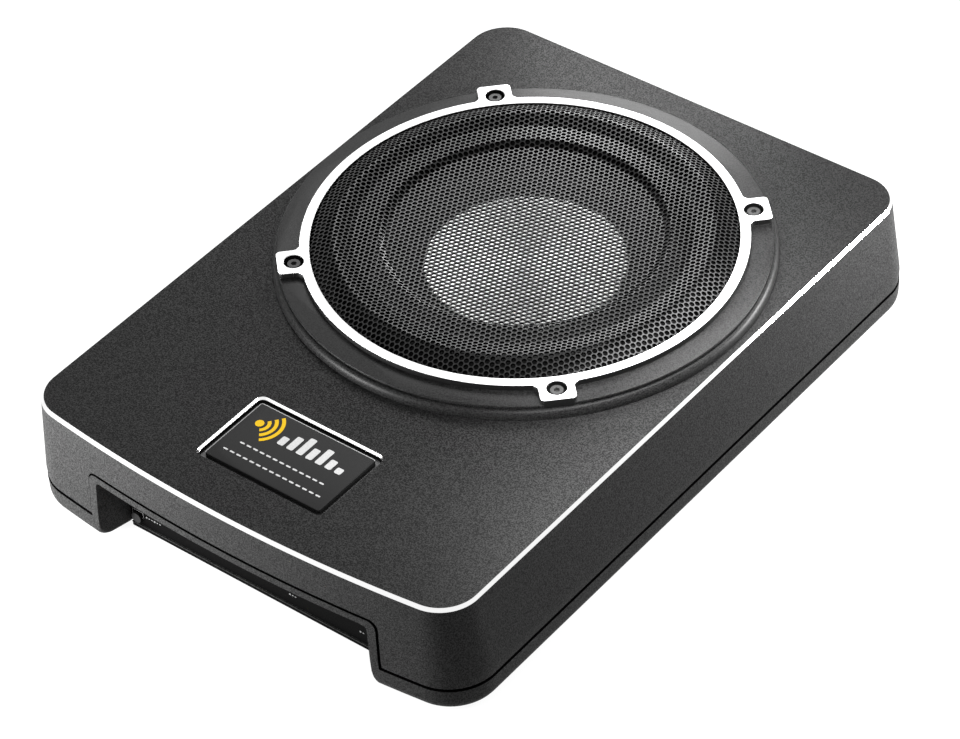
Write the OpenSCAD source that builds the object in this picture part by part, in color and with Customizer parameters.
// Powered under-seat car subwoofer: a flat two-piece cast case with a shallow round woofer under a
// domed perforated grille, and an amplifier behind a connector recess in the front (-Y) end.
// Millimetres, +Z up. The origin is the middle of the rest plane under the rubber feet.

/* [Case] */
// Half width of the flat top face
top_half_w = 119.5; // [118:0.5:124]
// Far end of the flat top face, from the origin
top_far_y = 173.2; // [172:0.1:178]
// Near end of the flat top face, at the middle of its bow
top_near_y = 177; // [175:0.1:180]
// Radius of the bowed front edge
front_bow_r = 816; // [700:1:2000]
// Corner radius of the flat top face
corner_r = 18; // [14:1:20]
// Height of the case from its underside to the flat top face
case_h = 60.6; // [58:0.1:66]
// Height of the parting line above the underside
seam_h = 14; // [12:0.5:16]
// Width of the parting groove
seam_gap = 0.7; // [0.5:0.1:1]
// Wall thickness of both castings
wall = 3; // [2.5:0.1:3.5]
// Width of the bright chamfer round the top
chamfer = 1.5; // [1:0.1:2]
// Height of the rubber feet below the case
foot_h = 1.2; // [1:0.1:2]

/* [Woofer and grille] */
// Distance of the woofer axis behind the origin
woofer_y = 38.6; // [38:0.1:40]
// Inner radius of the bright grille ring
ring_in_r = 99.1; // [99:0.1:99.5]
// Outer radius of the bright grille ring
ring_out_r = 103.8; // [103.5:0.1:104.5]
// Outer radius of the grille collar
collar_r = 114.35; // [114:0.05:115]
// Radius of the collar where it meets the case
skirt_r = 116.8; // [116:0.1:118]
// Height of the collar above the case
collar_h = 6.4; // [6:0.1:7]
// Height of the grille ring above the case
ring_h = 9.35; // [9:0.05:10]
// Height of the crest of the grille mesh above the case
crown_h = 13.2; // [12.8:0.1:14]
// Radius of the four grille screws from the woofer axis
tab_screw_r = 106.7; // [106:0.1:107]
// Radius of the cone at its outer edge
cone_r = 74; // [73:0.5:75]
// Radius of the flat dust cap
cap_r = 47.5; // [45:0.5:50]
// Radius of the voice coil former
coil_r = 25; // [24.5:0.1:25.5]

/* [Recess and panel] */
// Half width of the recess at the front
recess_half_w = 79.5; // [78:0.5:80]
// Half width of the recess at the connector panel
recess_back_half_w = 75; // [74:0.5:76]
// Height of the recess roof above the underside
recess_h = 36.3; // [35:0.1:38]
// Thickness of the lip round the recess
lip_t = 3.4; // [3:0.1:4]
// Front face of the connector panel, in front of the origin
panel_y = 159.3; // [158:0.1:160]

/* [Nameplate] */
// Width of the nameplate
plate_w = 65.2; // [60:0.1:70]
// Depth of the nameplate
plate_d = 39.3; // [36:0.1:42]
// Centre of the nameplate, in front of the origin
plate_y = 130.8; // [129:0.1:132]

/* [Hidden] */
$fn = 96;
sliver = 0.02;

// Heights measured from the rest plane.
under_z = foot_h;
seam_z = under_z + seam_h;
top_z = under_z + case_h;
collar_z = top_z + collar_h;
ring_z = top_z + ring_h;
crown_z = top_z + crown_h;
floor_z = under_z + 2.6;
roof_z = under_z + recess_h;

// Woofer heights.
cone_edge_z = top_z - 5;
cap_z = top_z - 6;
cone_rim_z = top_z - 9.5;
cone_neck_z = top_z - 13.5;
spider_z = 41;
yoke_z = floor_z + 1.4;
plate_top_z = 31;
plate_bottom_z = 25;

// Plan outline of the case.
function arc(x, y, r, a0, a1, n) =
    [for (i = [0 : n]) let (a = a0 + (a1 - a0) * i / n) [x + r * cos(a), y + r * sin(a)]];
function round_rect(w, d, r, n = 6) = concat(
    arc(w / 2 - r, d / 2 - r, r, 0, 90, n), arc(r - w / 2, d / 2 - r, r, 90, 180, n),
    arc(r - w / 2, r - d / 2, r, 180, 270, n), arc(w / 2 - r, r - d / 2, r, 270, 360, n));
// The outline grown by g at the sides and the far end, and by gf at the bowed front.
function outline(g, gf, n = 8) =
    let (w = top_half_w + g, r = corner_r + g, far = top_far_y + g, bow = front_bow_r + g,
        bow_y = front_bow_r - top_near_y + g - gf,
        near_y = bow_y - sqrt((bow - r) ^ 2 - (w - r) ^ 2),
        turn = atan2(near_y - bow_y, w - r))
    concat(arc(w - r, far - r, r, 0, 90, n), arc(r - w, far - r, r, 90, 180, n),
        arc(r - w, near_y, r, 180, 360 - 180 - turn, n),
        arc(0, bow_y, bow, -180 - turn, turn, 14),
        arc(w - r, near_y, r, turn, 0, n));

module outline_at(z, g, gf) {
    translate([0, 0, z]) linear_extrude(sliver) polygon(outline(g, gf));
}

// The whole upper envelope, shrunk inwards by t, from z0 up to z1.
module upper_envelope(t, z0, z1) {
    hull() {
        outline_at(z0, 5.6 - t, 2.5 - t);
        outline_at(seam_z + 5, 6 - t, 2.8 - t);
        outline_at(z1 - max(chamfer - t, sliver), chamfer - t, chamfer - t);
        outline_at(z1 - sliver, min(0, chamfer - t), min(0, chamfer - t));
    }
}

// The lower envelope, shrunk inwards by t, from z0 to z1, with an elliptical roll under.
roll_in = 7.5;
roll_up = 7;
module lower_envelope(t, z0, z1) {
    hull() {
        outline_at(z1 - sliver, 6 - t, 2.8 - t);
        for (a = [0 : 15 : 90]) {
            inset = roll_in * (1 - cos(a)) + t;
            outline_at(z0 + roll_up * (1 - sin(a)), 5.8 - inset, 2.6 - inset);
        }
    }
}

// Front view of the recess arch: half width w at the floor, roof height z, corner radius r.
flare_r = 3;
function arch(w, z, r) = concat(
    [[-w - flare_r, -5], [w + flare_r, -5]], arc(w + flare_r, under_z + flare_r, flare_r, 270, 180, 4),
    arc(w - 1 - r, z - r, r, 0, 90, 6), arc(r - w + 1, z - r, r, 90, 180, 6),
    arc(-w - flare_r, under_z + flare_r, flare_r, 0, -90, 4));

// The arch as a straight slab from y0 to y1.
module arch_prism(w, z, r, y0, y1) {
    translate([0, y1, 0]) rotate([90, 0, 0]) linear_extrude(y1 - y0) polygon(arch(w, z, r));
}

// The arch as a slab from y0 to y1, narrowing from half width w0 to w1.
module arch_block(w0, w1, z, r, y0, y1) {
    hull() {
        translate([0, y0 + sliver, 0]) rotate([90, 0, 0]) linear_extrude(sliver) polygon(arch(w0, z, r));
        translate([0, y1, 0]) rotate([90, 0, 0]) linear_extrude(sliver) polygon(arch(w1, z, r));
    }
}

// Places things at [x, y] points, or round the woofer axis.
module at_points(points) {
    for (p = points) translate([p[0], p[1], 0]) children();
}
module round_woofer(count, radius, start = 0) {
    for (i = [0 : count - 1])
        translate([0, woofer_y, 0]) rotate([0, 0, start + i * 360 / count])
            translate([radius, 0, 0]) children();
}
module on_woofer() {
    translate([0, woofer_y, 0]) children();
}
module tube(r_out, r_in, z0, z1) {
    translate([0, 0, z0]) difference() {
        cylinder(r = r_out, h = z1 - z0);
        translate([0, 0, -1]) cylinder(r = r_in, h = z1 - z0 + 2);
    }
}
module rod(r, z0, z1) {
    translate([0, 0, z0]) cylinder(r = r, h = z1 - z0);
}
// A box given by its low corner and its high corner.
module block(low, high) {
    translate(low) cube(high - low);
}
// A rod along Y from y0 to y1 at [x, z].
module rod_y(x, z, r, y0, y1) {
    translate([x, y0, z]) rotate([-90, 0, 0]) cylinder(r = r, h = y1 - y0);
}

case_screw_points = [[-106, 160], [106, 160], [-113.5, 38.9], [113.5, 38.9], [-111, -60], [111, -60],
    [-97, -158], [97, -158]];
insert_points = [[-85, 120], [85, 120], [-85, -120], [85, -120]];
insert_top = 11;
foot_points = [[-95, 148], [95, 148], [-95, -138], [95, -138]];
screw_r = 1.75;
screw_hole_r = 1.8;

// ---- Case ----
module top_shell() {
    color("#2b2b2d") difference() {
        union() {
            difference() {
                upper_envelope(0, seam_z + seam_gap / 2, top_z);
                upper_envelope(wall, seam_z - 2, top_z - wall);
                arch_prism(recess_half_w + lip_t + seam_gap, roof_z + lip_t + seam_gap, 5,
                    -190, -panel_y + 5);
            }
            at_points(case_screw_points) rod(4.2, seam_z + 1, top_z - 1.5);
            round_woofer(4, tab_screw_r, 45) rod(4.2, top_z - 12, top_z - 1.5);
        }
        on_woofer() rod(96.6, top_z - 20, top_z + 1);
        at_points(case_screw_points) rod(screw_hole_r, seam_z - 1, seam_z + 16);
        round_woofer(4, tab_screw_r, 45) rod(2.05, top_z - 10, top_z + 1);
        round_woofer(8, 99.8, 22.5) rod(screw_hole_r, top_z - 8, top_z + 1);
        badge_pocket();
    }
}

plate_gap = 0.9;
badge_chamfer = 1.7;
module badge_pocket() {
    translate([0, -plate_y, 0]) {
        hull() {
            translate([0, 0, top_z + 0.5])
                linear_extrude(sliver)
                    polygon(round_rect(plate_w + 2 * plate_gap + 2 * badge_chamfer + 1,
                        plate_d + 2 * plate_gap + 2 * badge_chamfer + 1, 3.3));
            translate([0, 0, top_z - badge_chamfer])
                linear_extrude(sliver)
                    polygon(round_rect(plate_w + 2 * plate_gap, plate_d + 2 * plate_gap, 1.4));
        }
        translate([0, 0, top_z - 2.4])
            linear_extrude(2)
                polygon(round_rect(plate_w + 2 * plate_gap, plate_d + 2 * plate_gap, 1.4));
    }
}

module nameplate() {
    color("#4a4a4c") translate([0, -plate_y, top_z - 2.4]) linear_extrude(1.6)
        polygon(round_rect(plate_w, plate_d, 0.9));
}

module bottom_shell() {
    color("#262628") difference() {
        union() {
            difference() {
                lower_envelope(0, under_z, seam_z - seam_gap / 2);
                lower_envelope(wall, floor_z, seam_z + 1);
            }
            intersection() {
                upper_envelope(0, seam_z - seam_gap / 2, top_z);
                arch_prism(recess_half_w + lip_t, roof_z + lip_t, 4.4, -190, -panel_y);
            }
            intersection() {
                lower_envelope(0, under_z, seam_z);
                block([-recess_half_w - lip_t, -190, 0], [recess_half_w + lip_t, -panel_y, seam_z]);
            }
            at_points(case_screw_points) rod(4.8, under_z + 1, seam_z - seam_gap / 2);
            at_points(insert_points) rod(6, under_z + 1, insert_top);
        }
        arch_block(recess_half_w, recess_back_half_w, roof_z, 2.6, -190, -panel_y + 3);
        at_points(case_screw_points) rod(2, -1, seam_z + 1);
        at_points(case_screw_points) rod(3.6, -1, under_z + 4);
        at_points(insert_points) rod(3.5, -1, seam_z);
        at_points(foot_points) rod(9.2, -1, under_z + 1);
    }
}

// Black sealing strip in the parting groove, following it up and over the recess.
module seam_gasket() {
    low_z = seam_z - seam_gap / 2;
    half_w = recess_half_w + lip_t;
    color("#0a0a0a") intersection() {
        difference() {
            upper_envelope(1, seam_z - 1, top_z);
            upper_envelope(wall - 0.4, seam_z - 2, top_z - wall);
        }
        union() {
            difference() {
                block([-200, -200, low_z], [200, 200, low_z + seam_gap]);
                block([-half_w - 1, -200, 0], [half_w + 1, -panel_y + 30, seam_z + 1]);
            }
            difference() {
                arch_prism(half_w + seam_gap, roof_z + lip_t + seam_gap, 5, -190, -170);
                arch_prism(half_w, roof_z + lip_t, 4.4, -191, -169);
                block([-200, -200, -9], [200, 0, seam_z + seam_gap / 2]);
            }
        }
    }
}

module case_screws() {
    color("#18181a") at_points(case_screw_points) {
        rod(screw_r, under_z + 2.2, seam_z + 14);
        difference() {
            rod(3.3, under_z + 1.4, under_z + 3.9);
            rod(1.4, under_z + 1, under_z + 2.6, $fn = 6);
        }
    }
}

module rubber_feet() {
    color("#101010") at_points(foot_points) rod(9, 0, under_z + 0.9);
}

module bracket_inserts() {
    color("#c9a24a") at_points(insert_points) tube(3.45, 2.1, under_z + 0.2, insert_top - 0.2);
}

// ---- Grille ----
// Cross section of the collar and ring, as [radius, height].
function skirt_curve(n = 8) = [for (i = [0 : n]) let (a = 90 * i / n)
    [114.6 + (skirt_r - 114.6) * cos(a), top_z + 0.1 + (collar_h - 2.1) * sin(a)]];
module frame_section() {
    polygon(concat(skirt_curve(), [
        [collar_r - 0.6, top_z + collar_h - 1.9], [collar_r - 0.6, top_z + collar_h - 1.2],
        [collar_r, top_z + collar_h - 1], [collar_r, collar_z - 0.3], [collar_r - 0.3, collar_z],
        [ring_out_r, collar_z], [ring_out_r, ring_z - 0.3], [ring_out_r - 0.3, ring_z],
        [ring_in_r + 0.3, ring_z], [ring_in_r, ring_z - 0.3], [ring_in_r, ring_z - 1.4],
        [ring_in_r + 2.2, ring_z - 1.4], [ring_in_r + 2.2, ring_z - 2.5],
        [ring_in_r + 0.4, ring_z - 2.7], [ring_in_r + 0.4, top_z + 4.6], [104.3, top_z + 4.6],
        [104.3, top_z + 0.1]]));
}

// Plan of one screw tab, pointing along +X from the woofer axis.
tab_points = [[101.5, -12], [103.9, -10.4], [105.1, -9.2], [112, -7.9], [113.6, -6.9], [114.35, -5],
    [114.35, 5], [113.6, 6.9], [112, 7.9], [105.1, 9.2], [103.9, 10.4], [101.5, 12]];

module grille_frame() {
    color("#1d1d1f") difference() {
        union() {
            on_woofer() rotate_extrude($fn = 144) frame_section();
            round_woofer(4, 0, 45) translate([0, 0, top_z + 4.8])
                linear_extrude(ring_h - 4.8) polygon(tab_points);
            round_woofer(4, tab_screw_r, 45) rod(3.4, top_z + 0.1, top_z + 6);
        }
        round_woofer(4, tab_screw_r, 45) rod(2.2, top_z - 1, ring_z + 1);
        round_woofer(4, tab_screw_r, 45) rod(4.7, ring_z - 3.6, ring_z + 1);
    }
}

// Mesh: a rim clamped under the ring, a rounded crest near the rim, and a sunk flat middle.
module grille_mesh() {
    rim = ring_z - 2.3;
    color("#1a1a1c") on_woofer() rotate_extrude($fn = 144) polygon([
        [0, crown_z - 3.8], [62.9, crown_z - 3.8], [66.5, crown_z - 1.85],
        [78.6, crown_z - 2.6], [86.4, crown_z - 0.8], [88, crown_z - 0.8], [90.6, crown_z - 1.7],
        [94.1, crown_z - 3.3], [97.8, crown_z - 4.9], [98.1, rim], [101, rim], [101, rim + 0.8],
        [98.8, rim + 0.8], [98.4, crown_z - 4.3], [94.5, crown_z - 2.5], [91, crown_z - 0.9],
        [88.3, crown_z], [86.5, crown_z], [78.5, crown_z - 1.75], [66.8, crown_z - 1.05],
        [63.2, crown_z - 3], [0, crown_z - 3]]);
}

module grille_screws() {
    color("#8d8f92") round_woofer(4, tab_screw_r, 45) {
        rod(2, top_z - 9, ring_z - 3.5);
        difference() {
            rod(3, ring_z - 3.5, ring_z - 1.2);
            rod(1.45, ring_z - 2.7, ring_z, $fn = 6);
        }
    }
}

// ---- Woofer ----
module basket() {
    color("#3a3a3c") difference() {
        on_woofer() rotate_extrude() polygon([
            [28, plate_top_z + 0.1], [58, plate_top_z + 0.1], [61, spider_z - 2.3],
            [66, spider_z - 2.3], [88, cone_edge_z - 1.9], [96, cone_edge_z - 1.9],
            [96, top_z + 0.8], [103.4, top_z + 0.8], [103.4, top_z + 2.8], [94.6, top_z + 2.8],
            [94.6, cone_edge_z + 0.1], [87, cone_edge_z + 0.1], [65, spider_z - 0.3],
            [58.5, spider_z - 0.3], [56, plate_top_z + 2.6], [28, plate_top_z + 2.6]]);
        round_woofer(8, 76, 0) translate([0, 0, spider_z - 8])
            linear_extrude(30) polygon(round_rect(13, 32, 4));
        round_woofer(8, 99.8, 22.5) rod(2, top_z - 1, top_z + 4);
    }
}

module basket_gasket() {
    color("#151515") difference() {
        on_woofer() tube(103.2, 97.2, top_z + 0.05, top_z + 0.75);
        round_woofer(8, 99.8, 22.5) rod(2, top_z - 1, top_z + 4);
    }
}

module basket_screws() {
    color("#202022") round_woofer(8, 99.8, 22.5) {
        rod(screw_r, top_z - 6, top_z + 3);
        rod(2.9, top_z + 2.85, top_z + 4.3);
    }
}

// Rubber half roll between the cone and the basket ledge.
roll_mid_r = 83;
roll_r = 7;
module surround() {
    z = cone_edge_z + 0.2;
    outer = arc(roll_mid_r, z + 0.4, roll_r, 180, 0, 16);
    inner = arc(roll_mid_r, z + 0.4, roll_r - 0.8, 0, 180, 16);
    color("#141414") on_woofer() rotate_extrude() polygon(concat(
        [[71.5, z + 0.2], [71.5, z + 0.9], [roll_mid_r - roll_r, z + 0.9]], outer,
        [[94.4, z + 0.9], [94.4, z], [roll_mid_r + roll_r - 0.8, z]], inner,
        [[roll_mid_r - roll_r + 0.8, z + 0.2]]));
}

// Corrugated spider.
function spider_wave(h, n = 48) = [for (i = [0 : n]) let (s = i / n)
    [coil_r + 1.2 + s * (56 - coil_r), spider_z + h + 1.3 * sin(s * 4 * 360)]];
module spider() {
    lower = spider_wave(0);
    upper = spider_wave(0.6);
    color("#b8893f") on_woofer() rotate_extrude() polygon(concat(lower,
        [[64, spider_z], [64, spider_z + 0.6]], [for (i = [len(upper) - 1 : -1 : 0]) upper[i]]));
}

module cone() {
    color("#6d6f72") on_woofer() rotate_extrude() polygon([
        [coil_r + 0.3, cone_neck_z], [cap_r + 0.4, cone_rim_z], [cone_r - 1, cone_edge_z - 0.8],
        [cone_r, cone_edge_z - 0.8], [cone_r, cone_edge_z], [cone_r - 1.2, cone_edge_z],
        [cap_r + 0.4, cone_rim_z + 0.8], [coil_r + 0.3, cone_neck_z + 0.8]]);
}

module dust_cap() {
    color("#c9cbcd") on_woofer() rotate_extrude() polygon([
        [0, cap_z - 0.7], [cap_r - 1.2, cap_z - 0.7], [cap_r - 0.8, cap_z - 1.1],
        [cap_r - 0.8, cone_rim_z + 0.85], [cap_r - 0.1, cone_rim_z + 0.9], [cap_r, cap_z - 0.5],
        [cap_r - 0.5, cap_z], [0, cap_z]]);
}

module coil_former() {
    color("#9b6b3a") on_woofer() tube(coil_r + 0.25, coil_r, 18.5, cone_neck_z + 0.7);
}

module coil_winding() {
    color("#b5652b") on_woofer() tube(coil_r + 0.95, coil_r + 0.27, 20.5, 35.5);
}

module top_plate() {
    color("#2f3033") on_woofer() tube(55, coil_r + 1.5, plate_bottom_z, plate_top_z);
}

module magnet() {
    color("#3b3b3f") on_woofer() tube(60, 30, yoke_z + 5.1, plate_bottom_z - 0.05);
}

module yoke() {
    color("#2f3033") on_woofer() {
        difference() {
            union() {
                rod(56, yoke_z, yoke_z + 5);
                rod(coil_r - 0.7, yoke_z + 4, plate_top_z + 0.5);
            }
            rod(6, yoke_z - 1, plate_top_z + 1);
        }
    }
}

terminal_angle = 270;
module speaker_terminals() {
    color("#1b1b1d") on_woofer() rotate([0, 0, terminal_angle]) {
        block([66.2, -14, spider_z - 9.5], [73, 14, spider_z - 7.6]);
        for (s = [-1, 1]) block([68, s * 9 - 2.4, spider_z - 13.5], [68.8, s * 9 + 2.4, spider_z - 9.6]);
    }
}

// Sagging braid from each terminal to the cone neck, as one swept tube.
function sag(t, s) = [63 - t * 35, s * (9 - 3 * t), spider_z + 4 + t * 2.6 - 0.9 * sin(180 * t)];
module sweep(points, r, sides = 8) {
    n = len(points);
    rings = [for (i = [0 : n - 1])
        let (a = points[max(i - 1, 0)], b = points[min(i + 1, n - 1)], d = (b - a) / norm(b - a),
            u = cross(d, abs(d[2]) > 0.9 ? [1, 0, 0] : [0, 0, 1]), su = u / norm(u),
            sv = cross(d, su))
        for (k = [0 : sides - 1]) points[i] + r * (cos(k * 360 / sides) * su + sin(k * 360 / sides) * sv)];
    caps = [[for (k = [0 : sides - 1]) k], [for (k = [sides - 1 : -1 : 0]) (n - 1) * sides + k]];
    walls = [for (i = [0 : n - 2]) for (k = [0 : sides - 1])
        [i * sides + k, (i + 1) * sides + k, (i + 1) * sides + (k + 1) % sides, i * sides + (k + 1) % sides]];
    polyhedron(rings, concat(caps, walls));
}
module tinsel_leads() {
    color("#c98b52") on_woofer() rotate([0, 0, terminal_angle]) for (s = [-1, 1])
        sweep([for (i = [0 : 9]) sag(i / 9, s)], 0.8);
}

// Insulated pair from the amplifier board to the terminals.
wire_points = [[0, -76, 15], [0, -72, 18.5], [0, -64, 20], [0, -55, 20.5], [0, -46, 21.5], [0, -38, 24],
    [0, -33, 27]];
module speaker_wires() {
    color("#8a1f1f") for (s = [-1, 1])
        sweep([for (p = wire_points) [s * 9, p[1], p[2]]], 1.2);
}

// ---- Amplifier ----
board_z = 12;
board_t = 1.6;
board_low = [-100, -145, board_z];
board_high = [100, -74, board_z + board_t];
standoff_points = [[-94, -140], [94, -140], [-94, -80], [94, -80]];

module amp_board() {
    color("#1f5a34") difference() {
        block(board_low, board_high);
        at_points(standoff_points) rod(1.7, board_z - 1, board_z + 4);
    }
}

module board_standoffs() {
    color("#9ea1a5") at_points(standoff_points) tube(3, 1.7, floor_z + 0.05, board_z - 0.05);
}

module board_screws() {
    color("#9ea1a5") at_points(standoff_points) {
        rod(1.55, floor_z + 2, board_z + board_t + 1);
        rod(2.9, board_z + board_t + 0.05, board_z + board_t + 2);
    }
}

part_z = board_z + board_t + 0.05;
module heat_bar() {
    color("#a6a9ac") block([-76, -84, part_z], [76, -78, part_z + 20]);
}

module power_transistors() {
    color("#1a1a1c") for (i = [0 : 7]) {
        x = -66 + i * 18.5;
        block([x - 5, -88.7, part_z + 3], [x + 5, -84.1, part_z + 18]);
        for (k = [-1, 0, 1]) block([x + k * 2.54 - 0.4, -86.8, part_z], [x + k * 2.54 + 0.4, -86, part_z + 3.2]);
    }
}

capacitor_points = [[-80, -108], [-60, -108], [-80, -126], [-60, -126]];
module capacitors() {
    color("#20324f") {
        at_points(capacitor_points) rod(8, part_z, part_z + 26);
        for (i = [0 : 4]) translate([62 + (i % 3) * 12, -104 - floor(i / 3) * 14, 0])
            rod(4, part_z, part_z + 12);
    }
}

module transformer() {
    color("#b5652b") translate([-26, -113, part_z]) rotate_extrude()
        translate([15, 8]) circle(r = 7.9);
}

module inductor() {
    color("#a8752f") translate([24, -106, part_z]) rotate_extrude() translate([10.5, 5.5]) circle(r = 5.4);
}

chip_points = [[50, -120, 10, 6], [66, -128, 8, 5], [34, -127, 12, 7], [4, -126, 10, 10], [0, -100, 6, 5]];
module control_chips() {
    color("#161616") for (c = chip_points)
        block([c[0] - c[2] / 2, c[1] - c[3] / 2, part_z], [c[0] + c[2] / 2, c[1] + c[3] / 2, part_z + 2.2]);
}

// ---- Connector panel ----
panel_t = 2;
panel_back = -panel_y + panel_t + 0.1;
panel_front = -panel_y + 0.1;
upper_row_z = under_z + 29;
lower_row_z = under_z + 18.4;
mid_row_z = under_z + 27.4;
knob_x = [28, 41.5, 55];
slider_x = [28, 41.5];
rca_x = [1.2, 14];
panel_screw_points = [[-70.5, under_z + 31.5], [70.5, under_z + 31.5], [-70.5, under_z + 7], [70.5, under_z + 7]];

module panel_hole(x, z, w, h) {
    block([x - w / 2, panel_front - 1, z - h / 2], [x + w / 2, panel_back + 1, z + h / 2]);
}

module connector_panel() {
    color("#101012") difference() {
        block([-78, panel_front, under_z + 2.8], [78, panel_back, roof_z + 2.4]);
        panel_hole(-54, mid_row_z, 25, 15);
        panel_hole(-29, mid_row_z, 16.4, 17.2);
        panel_hole(-11.5, mid_row_z, 11.4, 13.4);
        for (x = rca_x) rod_y(x, mid_row_z, 4.6, panel_front - 1, panel_back + 1);
        for (x = knob_x) rod_y(x, upper_row_z, 3.55, panel_front - 1, panel_back + 1);
        for (x = slider_x) panel_hole(x, lower_row_z, 9.4, 3.4);
        panel_hole(56, lower_row_z, 12.6, 8.4);
        rod_y(66.5, upper_row_z, 1.6, panel_front - 1, panel_back + 1);
        for (p = panel_screw_points) rod_y(p[0], p[1], 1.6, panel_front - 1, panel_back + 1);
    }
}

module panel_screws() {
    color("#8d8f92") for (p = panel_screw_points) {
        rod_y(p[0], p[1], 1.5, panel_front - 0.2, panel_back + 5);
        rod_y(p[0], p[1], 2.7, panel_front - 1.6, panel_front - 0.05);
    }
}

// Screw-clamp block for battery, ground and remote wires.
module power_block() {
    color("#17171a") difference() {
        block([-66.3, panel_front - 6, mid_row_z - 7.3], [-41.7, panel_back + 8, mid_row_z + 7.3]);
        for (i = [-1, 0, 1]) {
            block([-54 + i * 8 - 2.9, panel_front - 7, mid_row_z - 5.4],
                [-54 + i * 8 + 2.9, panel_front - 1, mid_row_z + 0.6]);
            translate([-54 + i * 8, panel_front - 3, 0]) rod(2.7, mid_row_z + 3.4, mid_row_z + 9);
        }
    }
}

module power_block_screws() {
    color("#a6a9ac") for (i = [-1, 0, 1]) translate([-54 + i * 8, panel_front - 3, 0]) difference() {
        rod(2.5, mid_row_z + 3.5, mid_row_z + 6.3);
        block([-3, -0.4, mid_row_z + 5.4], [3, 0.4, mid_row_z + 7]);
    }
}

module fuse_holder() {
    color("#1b1b1e") difference() {
        block([-37, panel_front - 2.5, mid_row_z - 8.4], [-21, panel_back + 9, mid_row_z + 8.4]);
        for (s = [-1, 1])
            block([-29 + s * 3.9 - 2.15, panel_front - 3, mid_row_z - 6.3],
                [-29 + s * 3.9 + 2.15, panel_front + 7, mid_row_z + 6.3]);
    }
}

// Two blade fuses, each a flat body with two blades.
module fuses() {
    color("#d9822b") for (s = [-1, 1]) {
        x = -29 + s * 3.9;
        block([x - 1.9, panel_front - 5.5, mid_row_z - 5.9], [x + 1.9, panel_front + 2, mid_row_z + 5.9]);
        for (k = [-1, 1])
            block([x - 0.35, panel_front + 2, mid_row_z + k * 3.7 - 1.4],
                [x + 0.35, panel_front + 6.8, mid_row_z + k * 3.7 + 1.4]);
    }
}

module high_level_socket() {
    color("#dcdcd6") difference() {
        block([-17, panel_front - 1.5, mid_row_z - 6.5], [-6, panel_back + 9, mid_row_z + 6.5]);
        block([-15.7, panel_front - 2.5, mid_row_z - 5.2], [-7.3, panel_front + 7, mid_row_z + 5.2]);
    }
}

module socket_pins() {
    color("#d1b45a") for (sx = [-1, 1], sz = [-1, 1])
        block([-11.5 + sx * 2.1 - 0.4, panel_front + 4, mid_row_z + sz * 2.1 - 0.4],
            [-11.5 + sx * 2.1 + 0.4, panel_front + 7.0, mid_row_z + sz * 2.1 + 0.4]);
}

module rca_block() {
    color("#141416") difference() {
        block([-5, panel_back + 0.1, mid_row_z - 6], [20.2, panel_back + 9, mid_row_z + 6]);
        for (x = rca_x) rod_y(x, mid_row_z, 4.2, panel_back - 1, panel_back + 7);
    }
}

module rca_barrels() {
    color("#cfc9b8") for (x = rca_x) difference() {
        union() {
            rod_y(x, mid_row_z, 4.15, panel_front - 8, panel_back + 6.9);
            rod_y(x, mid_row_z, 6, panel_front - 1.2, panel_front - 0.05);
        }
        rod_y(x, mid_row_z, 1.65, panel_front - 9, panel_front + 3);
    }
}

module remote_jack() {
    color("#1c1c20") difference() {
        block([49.9, panel_front - 0.8, lower_row_z - 4], [62.1, panel_back + 11, lower_row_z + 4]);
        block([51.4, panel_front - 2, lower_row_z - 2.8], [60.6, panel_front + 9, lower_row_z + 2.8]);
    }
}

module status_led() {
    color("#4aa3ff") {
        rod_y(66.5, upper_row_z, 1.5, panel_front - 0.7, panel_back + 3);
        rod_y(66.5, upper_row_z, 1.9, panel_back + 0.1, panel_back + 1);
    }
}

// ---- Controls ----
module pots() {
    color("#3d4a63") for (x = knob_x) difference() {
        union() {
            block([x - 5.4, panel_back + 0.1, upper_row_z - 6], [x + 5.4, panel_back + 8, upper_row_z + 5.6]);
            rod_y(x, upper_row_z, 3.45, panel_front - 1, panel_back + 0.2);
        }
        rod_y(x, upper_row_z, 2.05, panel_front - 2, panel_back + 6);
    }
}

module pot_shaft(x) {
    color("#b7b9bb") rod_y(x, upper_row_z, 2, panel_front - 6.3, panel_back + 5.5);
}

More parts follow.
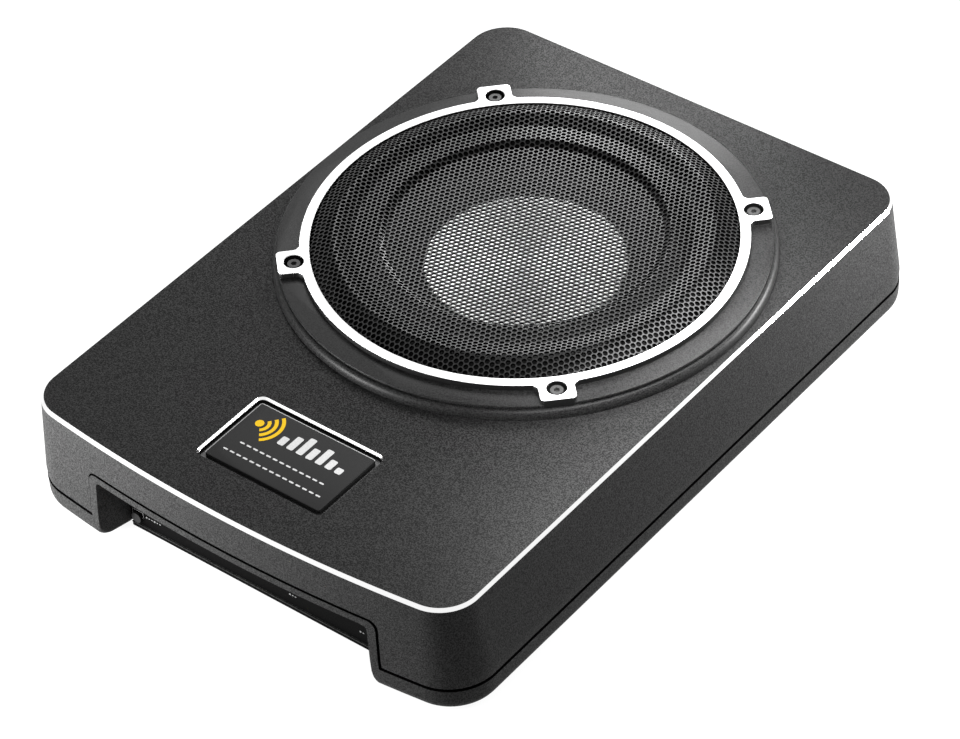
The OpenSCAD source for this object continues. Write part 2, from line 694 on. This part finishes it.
// Ribbed knob with a pointer line, turning on its shaft.
module control_knob(x) {
    color("#26262a") translate([x, panel_front - 1.5, upper_row_z]) rotate([90, 0, 0]) difference() {
        union() {
            cylinder(r = 4.6, h = 6.2);
            for (i = [0 : 17]) rotate([0, 0, i * 20]) translate([4.6, 0, 0]) cylinder(r = 0.42, h = 5.4, $fn = 16);
        }
        translate([0, 0, -1]) cylinder(r = 2.02, h = 6);
        translate([-0.4, 1.2, 5.7]) cube([0.8, 5, 2]);
    }
}

module gain_shaft() { pot_shaft(knob_x[0]); }
module crossover_shaft() { pot_shaft(knob_x[1]); }
module bass_shaft() { pot_shaft(knob_x[2]); }
module gain_knob() { control_knob(knob_x[0]); }
module crossover_knob() { control_knob(knob_x[1]); }
module bass_knob() { control_knob(knob_x[2]); }

module switch_cases() {
    color("#8f9296") for (x = slider_x) difference() {
        block([x - 6.5, panel_back + 0.1, lower_row_z - 3.5], [x + 6.5, panel_back + 6, lower_row_z + 3.5]);
        block([x - 4.2, panel_back - 1, lower_row_z - 1.8], [x + 4.2, panel_back + 3.5, lower_row_z + 1.8]);
    }
}

slider_w = 3.8;
slider_travel = 3.6;
module slider(x) {
    color("#e4e4e0") translate([x - slider_travel / 2, 0, lower_row_z]) {
        block([-slider_w / 2, panel_front - 2.2, -1.3], [slider_w / 2, panel_back + 3, 1.3]);
        for (k = [-1, 0, 1]) block([k * 1.2 - 0.25, panel_front - 2.6, -1.3], [k * 1.2 + 0.25, panel_front - 2.1, 1.3]);
    }
}
module phase_slider() { slider(slider_x[0]); }
module mode_slider() { slider(slider_x[1]); }

top_shell();
bottom_shell();
seam_gasket();
nameplate();
grille_frame();
grille_mesh();
grille_screws();
basket();
basket_gasket();
basket_screws();
surround();
spider();
cone();
dust_cap();
coil_former();
coil_winding();
top_plate();
magnet();
yoke();
speaker_terminals();
tinsel_leads();
speaker_wires();
amp_board();
board_standoffs();
board_screws();
heat_bar();
power_transistors();
capacitors();
transformer();
inductor();
control_chips();
connector_panel();
panel_screws();
power_block();
power_block_screws();
fuse_holder();
fuses();
high_level_socket();
socket_pins();
rca_block();
rca_barrels();
remote_jack();
status_led();
pots();
gain_shaft();
gain_knob();
crossover_shaft();
crossover_knob();
bass_shaft();
bass_knob();
switch_cases();
phase_slider();
mode_slider();
case_screws();
rubber_feet();
bracket_inserts();
